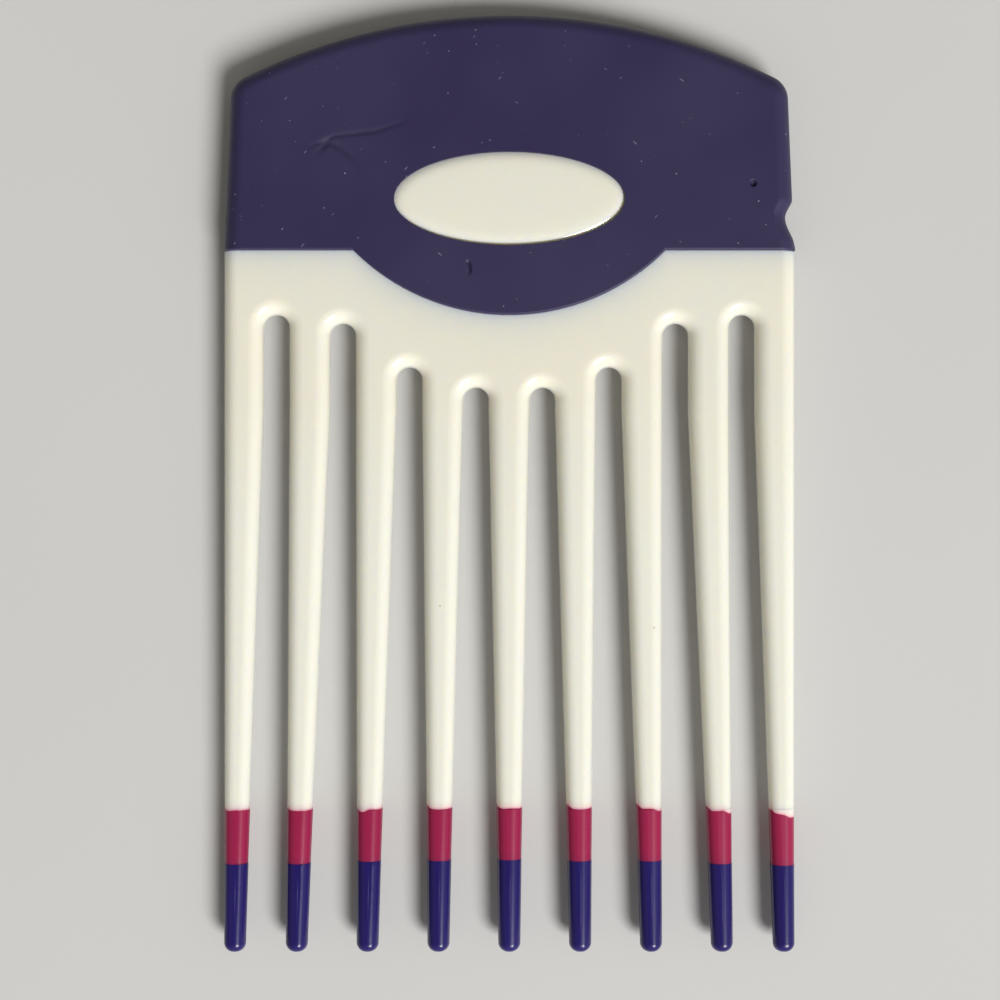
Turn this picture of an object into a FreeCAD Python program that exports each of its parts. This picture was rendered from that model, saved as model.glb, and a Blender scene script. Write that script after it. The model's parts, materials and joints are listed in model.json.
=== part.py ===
"""Wide-tooth hair pick: one ivory moulding with a rubber grip moulded over it and dipped tine ends.

Frame: the pick lies flat on the back of its grip. +Z points out of the front, +Y from the tines
to the grip, +X across the tines. The origin is under the middle of the whole pick. Every form is
drawn about the mid-plane of the moulding, and each finished sub-part is then lifted onto the surface.
"""
import FreeCAD, Part

import math
import os

import Sketcher

TINES = 9
ORIGIN, ORIGIN_POINT = -1, 1
START, END, CENTRE = 1, 2, 3
TOUCH = 1e-4  # how near counts as the same place, in mm

DRIVING_SIZES = {
    "overall_length": (152.0, "top of the grip to the ends of the dipped tines"),
    "grip_thick": (7.4, "front to back over the rubber"),
    "plate_thick": (5.0, "front to back of the bare moulding"),
    "tang_thick": (3.6, "front to back of the moulding inside the grip"),
    "plate_half": (46.3, "mid-line to the side of the moulding"),
    "edge_round": (2.3, "rounding along the slots and the sides"),
    "root_y": (12.0, "where the plate ends and the tapering tines begin"),
    "tine_pitch": (10.8, "slot to slot"),
    "slot_width": (4.2, "width of a slot in the plate"),
    "slot_top_inner": (15.8, "top of the two middle slots"),
    "slot_top_second": (19.1, "top of the next slots outwards"),
    "slot_top_third": (26.2, "top of the slots after those"),
    "slot_top_outer": (27.6, "top of the outermost slots"),
    "tip_width": (3.2, "width and thickness of a bare tine at its end"),
    "tip_corner": (1.52, "rounding of a tine's section at its end"),
    "tip_dome": (1.42, "rounding of a tine's end"),
    "fan_step": (0.75, "how far each tine's end leans out beyond its inner neighbour"),
    "outer_lean": (1.6, "how far the outermost tines' ends lean out"),
    "magenta_top": (-52.7, "upper edge of the first dip"),
    "magenta_coat": (0.14, "thickness of the first dip, let into the tine"),
    "violet_top": (-61.2, "upper edge of the second dip"),
    "violet_coat": (0.10, "thickness of the second dip, over the first"),
    "shoulder_y": (37.75, "straight part of the grip's lower edge"),
    "shoulder_half": (46.2, "mid-line to the side of the grip at its lower edge"),
    "crown_half": (45.1, "mid-line to the side of the grip under its arched top"),
    "crown_radius": (96.6, "radius of the arched top"),
    "crown_corner": (4.1, "rounding of the two top corners, seen from the front"),
    "belly_half": (25.2, "mid-line to where the grip's lower edge starts to curve down"),
    "belly_drop": (10.45, "how far that curve reaches below the shoulders"),
    "grip_round": (2.8, "rounding along the grip's sides and top"),
    "lip_round": (0.3, "rounding along the grip's lower edge"),
    "grip_wall": (1.8, "rubber between the tang's edge and the outside"),
    "tang_bury": (1.0, "how far the tang's drawing runs on into the plate"),
    "boss_y": (46.0, "centre of the oval boss"),
    "boss_long": (18.45, "half the boss's width"),
    "boss_short": (7.4, "half the boss's height"),
    "boss_top": (3.55, "mid-plane to the crown of the boss"),
    "boss_swell": (1.95, "the crown's ellipsoid is this many times the boss's outline"),
    "boss_round": (0.9, "rounding of the boss's rim"),
    "window_gap": (0.15, "gap between the boss and the grip's window"),
}


class Size:
    """A length that carries its formula over the sheet's cells together with its present value."""

    def __init__(self, formula, value):
        self.formula = formula
        self.value = value

    def joined(self, sign, other, value):
        right = other.formula if isinstance(other, Size) else str(float(other))
        return Size("(%s %s %s)" % (self.formula, sign, right), value)

    def __add__(self, other):
        return self.joined("+", other, self.value + number(other))

    def __sub__(self, other):
        return self.joined("-", other, self.value - number(other))

    def __mul__(self, other):
        return self.joined("*", other, self.value * number(other))

    def __truediv__(self, other):
        return self.joined("/", other, self.value / number(other))

    def __neg__(self):
        return self * -1

    def root(self):
        return Size("sqrt(%s)" % self.formula, math.sqrt(self.value))


def number(term):
    return term.value if isinstance(term, Size) else float(term)


def make_sheet(doc):
    """Write the driving sizes into a spreadsheet and return them by name."""
    sheet = doc.addObject("Spreadsheet::Sheet", "sizes")
    for row, (name, (value, meaning)) in enumerate(DRIVING_SIZES.items(), start=1):
        sheet.set("A%d" % row, name)
        sheet.set("B%d" % row, str(value))
        sheet.set("C%d" % row, meaning)
        sheet.setAlias("B%d" % row, name)
    doc.recompute()
    return {name: Size("sizes." + name, sheet.get(name)) for name in DRIVING_SIZES}


def blend(first, last, share):
    """The size that lies share of the way from first to last."""
    return first + (last - first) * share


# Sketch helpers


def sketch_on(body, name, role, height=None):
    """A sketch on one of the body's own origin planes, moved along the plane's normal by height."""
    sketch = body.newObject("Sketcher::SketchObject", name)
    plane = next(item for item in body.Origin.OriginFeatures if item.Role == role)
    sketch.AttachmentSupport = [(plane, "")]
    sketch.MapMode = "FlatFace"
    if height is not None:
        sketch.setExpression("AttachmentOffset.Base.z", height.formula)
    return sketch


def drive(sketch, size, kind, *places):
    """Add a dimension to the sketch and bind it to the sheet."""
    index = sketch.addConstraint(Sketcher.Constraint(kind, *places, size.value))
    sketch.setExpression("Constraints[%d]" % index, size.formula)


def pin_point(sketch, geometry, point, x, y):
    drive(sketch, x, "DistanceX", ORIGIN, ORIGIN_POINT, geometry, point)
    drive(sketch, y, "DistanceY", ORIGIN, ORIGIN_POINT, geometry, point)


def closed_outline(sketch, corners, arc_centres):
    """Join the corners in order. arc_centres gives the height of the centre of each curved side.

    A curved side's two corners lie at one height, and the arc is the one that bows away from its
    centre, or a half circle where the centre lies between the corners and the arc bows upwards.
    """
    ends = []
    for side, start in enumerate(corners):
        finish = corners[(side + 1) % len(corners)]
        first = FreeCAD.Vector(start[0].value, start[1].value, 0)
        last = FreeCAD.Vector(finish[0].value, finish[1].value, 0)
        if side not in arc_centres:
            sketch.addGeometry(Part.LineSegment(first, last))
            ends.append((START, END))
            continue
        centre = FreeCAD.Vector((first.x + last.x) / 2, arc_centres[side].value, 0)
        angles = [math.atan2(point.y - centre.y, point.x - centre.x) for point in (first, last)]
        rising = (first.y - centre.y) >= -TOUCH
        forwards = (first.x > last.x) == rising
        if not forwards:
            angles.reverse()
        circle = Part.Circle(centre, FreeCAD.Vector(0, 0, 1), (first - centre).Length)
        sketch.addGeometry(Part.ArcOfCircle(circle, angles[0], angles[1]))
        ends.append((START, END) if forwards else (END, START))
    base = sketch.GeometryCount - len(corners)
    for side, (x, y) in enumerate(corners):
        before = (side - 1) % len(corners)
        sketch.addConstraint(Sketcher.Constraint(
            "Coincident", base + before, ends[before][1], base + side, ends[side][0]))
        pin_point(sketch, base + side, ends[side][0], x, y)
    for side, height in arc_centres.items():
        drive(sketch, height, "DistanceY", ORIGIN, ORIGIN_POINT, base + side, CENTRE)


def rounded_section(sketch, middle, width, depth, corner):
    """A rounded rectangle about a point on the sketch's level axis."""
    half_w, half_d = width.value / 2, depth.value / 2
    in_w, in_d = half_w - corner.value, half_d - corner.value
    sides = [((-in_w, -half_d), (in_w, -half_d)), ((half_w, -in_d), (half_w, in_d)),
             ((in_w, half_d), (-in_w, half_d)), ((-half_w, in_d), (-half_w, -in_d))]
    for (x0, y0), (x1, y1) in sides:
        sketch.addGeometry(Part.LineSegment(FreeCAD.Vector(middle.value + x0, y0, 0),
                                            FreeCAD.Vector(middle.value + x1, y1, 0)))
    arc_middles = [(in_w, -in_d), (in_w, in_d), (-in_w, in_d), (-in_w, -in_d)]
    for quarter, (x, y) in enumerate(arc_middles):
        circle = Part.Circle(FreeCAD.Vector(middle.value + x, y, 0), FreeCAD.Vector(0, 0, 1), corner.value)
        begin = (quarter - 1) * math.pi / 2
        sketch.addGeometry(Part.ArcOfCircle(circle, begin, begin + math.pi / 2))
    for quarter in range(4):
        arc, following = 4 + quarter, (quarter + 1) % 4
        sketch.addConstraint(Sketcher.Constraint("Tangent", quarter, END, arc, START))
        sketch.addConstraint(Sketcher.Constraint("Tangent", arc, END, following, START))
        sketch.addConstraint(Sketcher.Constraint("Vertical" if quarter % 2 else "Horizontal", quarter))
        if quarter:
            sketch.addConstraint(Sketcher.Constraint("Equal", 4, arc))
    drive(sketch, corner, "Radius", 4)
    drive(sketch, width, "DistanceX", 3, START, 1, START)
    drive(sketch, depth, "DistanceY", 0, START, 2, START)
    drive(sketch, middle + width / 2, "DistanceX", ORIGIN, ORIGIN_POINT, 1, START)
    drive(sketch, depth / 2, "DistanceY", ORIGIN, ORIGIN_POINT, 2, START)


# Feature helpers


def pad_both_ways(body, name, sketch, thick, kind="PartDesign::Pad"):
    """Pad or pocket a sketch by half of thick to each side of the mid-plane."""
    feature = body.newObject(kind, name)
    feature.Profile = sketch
    feature.SideType = "Symmetric"
    feature.setExpression("Length", thick.formula)
    body.Document.recompute()
    return feature


def round_edges(body, name, feature, radius, chosen):
    """Round the edges of the body's last feature for which chosen(edge) is true."""
    names = ["Edge%d" % n for n, edge in enumerate(feature.Shape.Edges, start=1) if chosen(edge)]
    if not names:
        raise RuntimeError("%s finds no edge to round" % name)
    fillet = body.newObject("PartDesign::Fillet", name)
    fillet.Base = (feature, names)
    fillet.setExpression("Radius", radius.formula)
    body.Document.recompute()
    return fillet


def runs_along(edge, axis):
    """Whether a straight edge runs along the axis."""
    if not isinstance(edge.Curve, Part.Line):
        return False
    return abs(edge.Curve.Direction.dot(axis)) > 1 - TOUCH


def is_flat_at(edge, height):
    return all(abs(abs(vertex.Z) - height) < TOUCH for vertex in edge.Vertexes)


# The moulding


def belly_centre(s):
    """Height of the centre of the arc that the grip's lower edge follows."""
    radius = (s["belly_half"] * s["belly_half"] + s["belly_drop"] * s["belly_drop"]) / (s["belly_drop"] * 2)
    return s["shoulder_y"] - s["belly_drop"] + radius, radius


def slot_tops(s):
    """The eight slots from left to right: middle line and top."""
    tops = [s["slot_top_inner"], s["slot_top_second"], s["slot_top_third"], s["slot_top_outer"]]
    for step in range(-4, 4):
        along = step + 0.5
        yield s["tine_pitch"] * along, tops[int(abs(along))]


def make_plate(doc, s):
    """The slotted plate with rounded slots and sides, and the thinner tang that the grip covers."""
    body = doc.addObject("PartDesign::Body", "plate")
    centre, radius = belly_centre(s)
    side, root = s["plate_half"], s["root_y"]
    outline = sketch_on(body, "plate_outline", "XY_Plane")
    closed_outline(
        outline,
        [(-side, root), (side, root), (side, s["shoulder_y"]), (s["belly_half"], s["shoulder_y"]),
         (-s["belly_half"], s["shoulder_y"]), (-side, s["shoulder_y"])],
        {3: centre},
    )
    pad_both_ways(body, "plate_pad", outline, s["plate_thick"])

    slots = sketch_on(body, "slot_outlines", "XY_Plane")
    half = s["slot_width"] / 2
    below = root - s["slot_width"]
    for middle, top in slot_tops(s):
        round_y = top - half
        closed_outline(
            slots,
            [(middle - half, below), (middle + half, below), (middle + half, round_y),
             (middle - half, round_y)],
            {2: round_y},
        )
    pocket = pad_both_ways(body, "slots", slots, s["plate_thick"] * 2, "PartDesign::Pocket")

    along_tines = FreeCAD.Vector(0, 1, 0)

    def is_rim(edge):
        if not is_flat_at(edge, s["plate_thick"].value / 2):
            return False
        if isinstance(edge.Curve, Part.Circle):
            return abs(edge.Curve.Radius - half.value) < TOUCH
        return runs_along(edge, along_tines)

    round_edges(body, "slot_and_side_rounding", pocket, s["edge_round"], is_rim)

    tang = sketch_on(body, "tang_outline", "XY_Plane")
    crown = s["crown_radius"] - s["grip_wall"]
    crown_centre = s["overall_length"] / 2 - s["crown_radius"]
    tang_side = s["crown_half"] - s["grip_wall"]
    tang_low = s["shoulder_y"] - s["tang_bury"]
    buried = radius + s["tang_bury"]
    belly = (buried * buried - (centre - tang_low) * (centre - tang_low)).root()
    crown_low = crown_centre + (crown * crown - tang_side * tang_side).root()
    closed_outline(
        tang,
        [(-tang_side, tang_low), (-belly, tang_low), (belly, tang_low), (tang_side, tang_low),
         (tang_side, crown_low), (-tang_side, crown_low)],
        {1: centre, 4: crown_centre},
    )
    pad_both_ways(body, "tang_pad", tang, s["tang_thick"])
    return body


def make_boss(doc, s):
    """The oval boss: a flat ellipsoid's crown inside an oval outline, front and back alike."""
    oval = make_oval(doc, s, "boss_outline", s["boss_long"], s["boss_short"], s["boss_top"] * 2.5)
    crown = doc.addObject("Part::Ellipsoid", "boss_crown")
    crown.setExpression("Radius1", s["boss_top"].formula)
    crown.setExpression("Radius2", (s["boss_long"] * s["boss_swell"]).formula)
    crown.setExpression("Radius3", (s["boss_short"] * s["boss_swell"]).formula)
    crown.setExpression("Placement.Base.y", s["boss_y"].formula)
    lens = doc.addObject("Part::Common", "boss_lens")
    lens.Base, lens.Tool = oval, crown
    doc.recompute()
    rims = [n for n, edge in enumerate(lens.Shape.Edges, start=1)
            if abs(edge.CenterOfMass.z) > s["tang_thick"].value / 2]
    boss = doc.addObject("Part::Fillet", "boss")
    boss.Base = lens
    boss.Edges = [(n, s["boss_round"].value, s["boss_round"].value) for n in rims]
    doc.recompute()
    return boss


def make_oval(doc, s, name, half_long, half_short, thick):
    """An oval prism about the boss's centre, as thick to the front as to the back."""
    ring = doc.addObject("Part::Ellipse", name + "_ring")
    ring.setExpression("MajorRadius", half_long.formula)
    ring.setExpression("MinorRadius", half_short.formula)
    ring.setExpression("Placement.Base.y", s["boss_y"].formula)
    prism = doc.addObject("Part::Extrusion", name)
    prism.Base = ring
    prism.DirMode = "Custom"
    prism.Dir = FreeCAD.Vector(0, 0, 1)
    prism.Solid = True
    prism.Symmetric = True
    prism.setExpression("LengthFwd", thick.formula)
    return prism


# The tines and their dips


def tine_lines(s, index):
    """The root's and the end's middle line and width, for a tine counted from the middle one."""
    step = abs(index)
    sign = 1 if index > 0 else -1
    gap_side = s["tine_pitch"] * (step - 0.5) + s["slot_width"] / 2
    if step == TINES // 2:
        root_width = s["plate_half"] - gap_side
        root_middle = gap_side + root_width / 2
        end_middle = root_middle + s["outer_lean"]
    else:
        root_width = s["tine_pitch"] - s["slot_width"]
        root_middle = s["tine_pitch"] * step
        end_middle = root_middle + s["fan_step"] * step
    return root_middle * sign, end_middle * sign, root_width


def tine_loft(body, name, s, index, from_y, to_y, grow):
    """One straight stretch of a tine, its surface moved outwards by grow."""
    root_middle, end_middle, root_width = tine_lines(s, index)
    end_y = bare_end(s)
    sections = []
    for mark, y in (("upper", from_y), ("lower", to_y)):
        share = (s["root_y"] - y) / (s["root_y"] - end_y)
        place = y - grow if y is end_y or y.formula == end_y.formula else y
        sketch = sketch_on(body, "%s_%s" % (name, mark), "XZ_Plane", -place)
        rounded_section(
            sketch,
            blend(root_middle, end_middle, share),
            blend(root_width, s["tip_width"], share) + grow * 2,
            blend(s["plate_thick"], s["tip_width"], share) + grow * 2,
            blend(s["edge_round"], s["tip_corner"], share) + grow,
        )
        sections.append(sketch)
    loft = body.newObject("PartDesign::AdditiveLoft", name)
    loft.Profile = sections[0]
    loft.Sections = [sections[1]]
    loft.Ruled = True
    body.Document.recompute()
    return loft


def bare_end(s):
    """Where the middle of an uncoated tine's end would lie; the second dip reaches the full length."""
    return s["violet_coat"] - s["overall_length"] / 2


def round_end(body, name, loft, s, grow):
    """Dome the tine's end face."""
    lowest = min(vertex.Y for vertex in loft.Shape.Vertexes)
    return round_edges(
        body, name, loft, s["tip_dome"] + grow,
        lambda edge: all(abs(vertex.Y - lowest) < TOUCH for vertex in edge.Vertexes),
    )


def make_tine(doc, s, index, label):
    """A bare tine: its visible taper, then the part under the dips, let in by the first dip's coat."""
    body = doc.addObject("PartDesign::Body", "tine_%d" % label)
    inset = -s["magenta_coat"]
    tine_loft(body, "tine_%d_taper" % label, s, index, s["root_y"], s["magenta_top"], s["magenta_coat"] * 0)
    under = tine_loft(body, "tine_%d_under_dip" % label, s, index, s["magenta_top"], bare_end(s), inset)
    round_end(body, "tine_%d_end" % label, under, s, inset)
    return body


def make_dip(doc, s, index, name, top_y, grow):
    """The outside of a dip, as a solid tine end."""
    body = doc.addObject("PartDesign::Body", name)
    loft = tine_loft(body, name + "_taper", s, index, top_y, bare_end(s), grow)
    round_end(body, name + "_end", loft, s, grow)
    return body


# The grip


def make_grip_form(doc, s):
    """The outside of the grip, before the tang and the window are taken out of it."""
    body = doc.addObject("PartDesign::Body", "grip_form")
    centre, radius = belly_centre(s)
    crown_centre = s["overall_length"] / 2 - s["crown_radius"]
    crown, side = s["crown_radius"], s["crown_half"]
    crown_low = crown_centre + (crown * crown - side * side).root()
    low = s["shoulder_y"]
    outline = sketch_on(body, "grip_outline", "XY_Plane")
    closed_outline(
        outline,
        [(-s["shoulder_half"], low), (-s["belly_half"], low), (s["belly_half"], low),
         (s["shoulder_half"], low), (side, crown_low), (-side, crown_low)],
        {1: centre, 4: crown_centre},
    )
    pad = pad_both_ways(body, "grip_pad", outline, s["grip_thick"])
    upright = FreeCAD.Vector(0, 0, 1)
    corners = round_edges(body, "grip_corners", pad, s["crown_corner"],
                          lambda edge: runs_along(edge, upright) and edge.CenterOfMass.y > s["boss_y"].value)
    face = s["grip_thick"].value / 2

    def is_outer(edge):
        return is_flat_at(edge, face) and edge.CenterOfMass.y > low.value + TOUCH

    rounded = round_edges(body, "grip_rounding", corners, s["grip_round"], is_outer)

    def is_lip(edge):
        return is_flat_at(edge, face) and max(v.Y for v in edge.Vertexes) < low.value + TOUCH

    round_edges(body, "grip_lip", rounded, s["lip_round"], is_lip)
    return body


def make_grip(doc, s, form, plate):
    """The overmoulded rubber: its form less the tang and less the window round the boss."""
    window = make_oval(doc, s, "window", s["boss_long"] + s["window_gap"],
                       s["boss_short"] + s["window_gap"], s["grip_thick"] * 2)
    hollow = doc.addObject("Part::Cut", "grip_hollow")
    hollow.Base, hollow.Tool = form, plate
    grip = doc.addObject("Part::Cut", "grip")
    grip.Base, grip.Tool = hollow, window
    return grip


# Sub-parts


def build(doc):
    """Make every sub-part and return them."""
    s = make_sheet(doc)
    plate = make_plate(doc, s)
    boss = make_boss(doc, s)
    tines, dips = [], []
    for label, index in enumerate(range(-(TINES // 2), TINES // 2 + 1), start=1):
        tine = make_tine(doc, s, index, label)
        first = make_dip(doc, s, index, "first_dip_%d" % label, s["magenta_top"], s["magenta_coat"] * 0)
        second = make_dip(doc, s, index, "second_dip_%d" % label, s["violet_top"], s["violet_coat"])
        tines.append(tine)
        for name, outside, inside in (("magenta_dip_%d", first, tine), ("violet_dip_%d", second, first)):
            coat = doc.addObject("Part::Cut", name % label)
            coat.Base, coat.Tool = outside, inside
            dips.append(coat)
    comb = doc.addObject("Part::MultiFuse", "comb_body")
    comb.Shapes = [plate, boss] + tines
    comb.Refine = True
    grip = make_grip(doc, s, make_grip_form(doc, s), plate)
    parts = [comb, grip] + dips
    for part in parts:
        part.Label = part.Name
        part.setExpression("Placement.Base.z", (s["grip_thick"] / 2).formula)
    doc.recompute()
    return parts


def check(doc, parts):
    """Stop if anything failed to build."""
    for item in doc.Objects:
        if {"Invalid", "Error"} & set(item.State):
            raise RuntimeError("%s failed: %s" % (item.Name, item.State))
    for part in parts:
        shape = part.Shape
        if shape.isNull() or not shape.isValid() or not shape.Solids:
            raise RuntimeError("%s has no valid solid" % part.Label)


def main():
    doc = FreeCAD.newDocument("hair_pick")
    parts = build(doc)
    check(doc, parts)
    os.makedirs("parts", exist_ok=True)
    for part in parts:
        box = part.Shape.BoundBox
        print("%-14s solids %d volume %9.2f  x %7.2f %7.2f  y %7.2f %7.2f  z %5.2f %5.2f" % (
            part.Label, len(part.Shape.Solids), part.Shape.Volume,
            box.XMin, box.XMax, box.YMin, box.YMax, box.ZMin, box.ZMax))
        part.Shape.exportStep("parts/%s.step" % part.Label)


main()
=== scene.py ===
"""Looks of a nine-tine hair pick: ivory moulding, dark rubber grip and tine ends dipped in two colours.

Lengths in the dataclasses are millimetres in the part's own frame, unless their docstring says
otherwise; the meshes and the shader nodes work in metres.
"""
import json
import logging
import math
from dataclasses import dataclass, field
from enum import Enum

import bmesh
import bpy
from mathutils import Matrix, Vector

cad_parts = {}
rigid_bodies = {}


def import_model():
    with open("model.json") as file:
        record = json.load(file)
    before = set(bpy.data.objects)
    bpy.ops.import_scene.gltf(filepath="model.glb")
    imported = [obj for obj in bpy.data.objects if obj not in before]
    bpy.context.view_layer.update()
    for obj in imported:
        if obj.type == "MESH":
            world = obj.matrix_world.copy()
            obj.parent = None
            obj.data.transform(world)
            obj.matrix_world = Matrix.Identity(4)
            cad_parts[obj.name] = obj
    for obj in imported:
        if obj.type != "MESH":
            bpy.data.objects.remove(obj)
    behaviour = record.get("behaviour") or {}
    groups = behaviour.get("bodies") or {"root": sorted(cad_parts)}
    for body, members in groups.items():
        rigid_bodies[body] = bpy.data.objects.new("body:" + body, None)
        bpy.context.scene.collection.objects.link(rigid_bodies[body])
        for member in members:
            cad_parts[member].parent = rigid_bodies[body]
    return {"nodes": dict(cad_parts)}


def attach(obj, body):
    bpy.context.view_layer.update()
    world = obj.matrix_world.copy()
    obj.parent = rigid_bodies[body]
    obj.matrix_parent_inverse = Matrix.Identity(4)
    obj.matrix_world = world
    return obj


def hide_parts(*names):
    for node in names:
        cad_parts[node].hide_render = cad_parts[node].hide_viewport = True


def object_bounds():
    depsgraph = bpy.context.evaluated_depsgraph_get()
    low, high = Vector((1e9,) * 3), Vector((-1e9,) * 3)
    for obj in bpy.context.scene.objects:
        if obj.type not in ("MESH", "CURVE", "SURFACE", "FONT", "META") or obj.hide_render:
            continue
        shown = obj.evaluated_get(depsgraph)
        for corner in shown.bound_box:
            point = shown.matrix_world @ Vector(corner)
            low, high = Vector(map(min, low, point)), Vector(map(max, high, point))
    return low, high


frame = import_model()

MM = 0.001
MID_PLANE = 3.7
WELD = 1e-6
LOG = logging.getLogger("hair_pick")
# The name of the grip's mesh layer that holds the painted shade in its dents and pit.
DENT_SHADE = "wear_and_shade"
CAD_BOX = [list(corner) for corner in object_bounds()]

Node = bpy.types.Node
Socket = bpy.types.NodeSocket
Tree = bpy.types.NodeTree
Material = bpy.types.Material
Mesh = bmesh.types.BMesh
Edge = bmesh.types.BMEdge
Vert = bmesh.types.BMVert
Colour = tuple[float, float, float]
Point = tuple[float, float]
Term = Socket | float | int | tuple


class Slot(Enum):
    """The record's material slots."""

    IVORY = "ivory_plastic"
    RUBBER = "grip_rubber"
    VIOLET = "violet_dip"


class Body(Enum):
    """The bodies that pieces ride on."""

    PICK = "root"


def smooth_step(value: float, low: float, high: float) -> float:
    """Rise smoothly from 0 at low to 1 at high.

    Args:
        value: The place to read.
        low: Where the rise starts.
        high: Where the rise ends.

    Returns:
        A share from 0 to 1.
    """
    share = min(max((value - low) / (high - low), 0.0), 1.0)
    return share * share * (3 - 2 * share)


# Node wiring


class Wiring:
    """Lays nodes in one tree and joins them, so that a finish reads as a chain of steps."""

    def __init__(self, tree: Tree) -> None:
        """Keep the tree that the nodes go in."""
        self.tree = tree

    def node(self, kind: str, inputs: dict[str, Term] | None = None, **settings: object) -> Node:
        """Add one node.

        Args:
            kind: The node's type, without its leading ShaderNode.
            inputs: What each named input is joined to or set to.
            settings: The node's own properties.

        Returns:
            The new node.
        """
        made = self.tree.nodes.new("ShaderNode" + kind)
        for name, value in settings.items():
            setattr(made, name, value)
        for name, value in (inputs or {}).items():
            self.feed(value, made.inputs[name])
        return made

    def feed(self, value: Term, target: Socket) -> None:
        """Join a socket to the target, or set the target to a plain value.

        Args:
            value: A socket, a number or a tuple of numbers.
            target: The input that receives it.
        """
        if isinstance(value, Socket):
            self.tree.links.new(value, target)
        elif isinstance(value, tuple) and target.type == "RGBA":
            target.default_value = (*value, 1.0)
        else:
            target.default_value = value

    def math(self, operation: str, *terms: Term) -> Socket:
        """One arithmetic step.

        Args:
            operation: The Math node's operation.
            terms: Its inputs in order.

        Returns:
            The result.
        """
        made = self.tree.nodes.new("ShaderNodeMath")
        made.operation = operation
        for place, term in enumerate(terms):
            self.feed(term, made.inputs[place])
        return made.outputs[0]

    def rise(self, value: Term, low: Term, high: Term) -> Socket:
        """A smooth rise from 0 at low to 1 at high.

        Args:
            value: What is read.
            low: Where the rise starts.
            high: Where the rise ends.

        Returns:
            The share from 0 to 1.
        """
        made = self.node("MapRange", {"Value": value, "From Min": low, "From Max": high},
                         interpolation_type="SMOOTHSTEP")
        return made.outputs[0]

    def mix(self, share: Term, first: Term, second: Term) -> Socket:
        """Blend two colours.

        Args:
            share: How much of the second shows.
            first: The colour at share 0.
            second: The colour at share 1.

        Returns:
            The blended colour.
        """
        made = self.tree.nodes.new("ShaderNodeMix")
        made.data_type = "RGBA"
        self.feed(share, made.inputs[0])
        self.feed(first, made.inputs[6])
        self.feed(second, made.inputs[7])
        return made.outputs[2]

    def noise(self, place: Term, per_metre: Term, detail: float = 2.0) -> Socket:
        """Soft noise from 0 to 1.

        Args:
            place: The coordinate it is read at.
            per_metre: How many features there are in a metre.
            detail: Octaves of finer noise.

        Returns:
            The noise value.
        """
        made = self.node("TexNoise", {"Vector": place, "Scale": per_metre, "Detail": detail})
        return made.outputs["Fac"]


@dataclass(frozen=True)
class EffectGroup:
    """A shared surface effect: a node group with named inputs and outputs."""

    name: str
    inputs: tuple[tuple[str, str, object], ...]
    outputs: tuple[tuple[str, str], ...]

    def open(self) -> tuple[Wiring, Node, Node]:
        """Make the empty group.

        Returns:
            Its wiring, its input node and its output node.
        """
        tree = bpy.data.node_groups.new(self.name, "ShaderNodeTree")
        for label, kind, default in self.inputs:
            socket = tree.interface.new_socket(name=label, in_out="INPUT",
                                               socket_type="NodeSocket" + kind)
            if default is not None:
                socket.default_value = default
        for label, kind in self.outputs:
            tree.interface.new_socket(name=label, in_out="OUTPUT", socket_type="NodeSocket" + kind)
        return Wiring(tree), tree.nodes.new("NodeGroupInput"), tree.nodes.new("NodeGroupOutput")


@dataclass(frozen=True)
class MouldedSkin(EffectGroup):
    """Fine unevenness of a moulded or dipped skin, and a slow drift of its shade."""

    name: str = "moulded_skin"
    inputs: tuple = (("Place", "Vector", None), ("Grain per metre", "Float", 2500.0),
                     ("Drift per metre", "Float", 60.0))
    outputs: tuple = (("Height", "Float"), ("Drift", "Float"))
    fine_detail: float = 3.0
    drift_blend: Point = (0.3, 0.7)

    def build(self) -> Tree:
        """Wire the group.

        Returns:
            The group's node tree.
        """
        wiring, given, result = self.open()
        fine = wiring.noise(given.outputs["Place"], given.outputs["Grain per metre"], self.fine_detail)
        slow = wiring.noise(given.outputs["Place"], given.outputs["Drift per metre"])
        wiring.feed(fine, result.inputs["Height"])
        wiring.feed(wiring.rise(slow, *self.drift_blend), result.inputs["Drift"])
        return wiring.tree


@dataclass(frozen=True)
class Specks(EffectGroup):
    """Small marks scattered over a surface, stretched by the place they are given."""

    name: str = "specks"
    inputs: tuple = (("Place", "Vector", None), ("Cells per metre", "Float", 400.0),
                     ("Radius in cells", "Float", 0.08), ("Share of cells", "Float", 0.5))
    outputs: tuple = (("Mask", "Float"),)
    smallest: float = 0.35
    solid_part: float = 0.5
    faintest: float = 0.35

    def build(self) -> Tree:
        """Wire the group.

        Returns:
            The group's node tree.
        """
        wiring, given, result = self.open()
        cells = wiring.node("TexVoronoi", {"Vector": given.outputs["Place"],
                                           "Scale": given.outputs["Cells per metre"]})
        draw = wiring.node("SeparateColor", {"Color": cells.outputs["Color"]})
        chosen = wiring.math("LESS_THAN", draw.outputs[0], given.outputs["Share of cells"])
        radius = wiring.math("MULTIPLY", given.outputs["Radius in cells"],
                             wiring.math("ADD", draw.outputs[1], self.smallest))
        solid = wiring.math("MULTIPLY", radius, self.solid_part)
        inside = wiring.math("SUBTRACT", 1.0, wiring.rise(cells.outputs["Distance"], solid, radius))
        strength = wiring.math("ADD", self.faintest,
                               wiring.math("MULTIPLY", draw.outputs[2], 1 - self.faintest))
        wiring.feed(wiring.math("MULTIPLY", wiring.math("MULTIPLY", inside, chosen), strength),
                    result.inputs["Mask"])
        return wiring.tree


@dataclass(frozen=True)
class TineDip:
    """Where the two dips end on one tine, measured up the tine in millimetres."""

    ear: float
    left: float
    middle: float
    right: float
    second: float


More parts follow.
